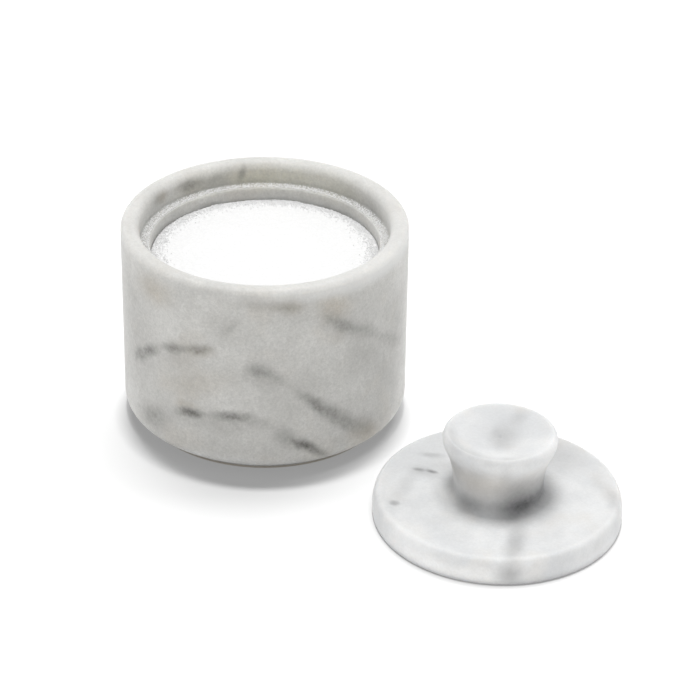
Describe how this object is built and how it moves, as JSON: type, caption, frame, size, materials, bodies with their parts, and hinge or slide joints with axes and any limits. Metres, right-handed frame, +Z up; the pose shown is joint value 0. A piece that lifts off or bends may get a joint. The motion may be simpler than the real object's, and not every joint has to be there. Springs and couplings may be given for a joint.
{
  "type": "salt cellar",
  "caption": "Turned marble salt cellar: a round cup with a ledge inside its rim, filled with salt, and its knobbed lid lying beside it.",
  "frame": {"origin": "on the cellar body's axis, at the face that it stands on", "axes": "+Z up along the body's axis, +X from the body towards the lid that lies beside it, +Y to the left when looking along +X"},
  "size_m": [0.2142, 0.108, 0.08],
  "materials": {
    "body_marble": "honed light grey marble with soft grey veins",
    "lid_marble": "polished white marble with soft blue-grey veins",
    "salt": "fine loose salt grains",
    "pad": "felt"
  },
  "bodies": {
    "cellar": {"cellar_body": "body_marble", "base_pad": "pad", "salt": "salt"},
    "lid": {"lid": "lid_marble"}
  },
  "joints": [
    {"name": "lid_lift", "type": "slide", "parent": "cellar", "child": "lid", "axis": [0, 0, 1], "range_m": [0, 0.12]}
  ]
}
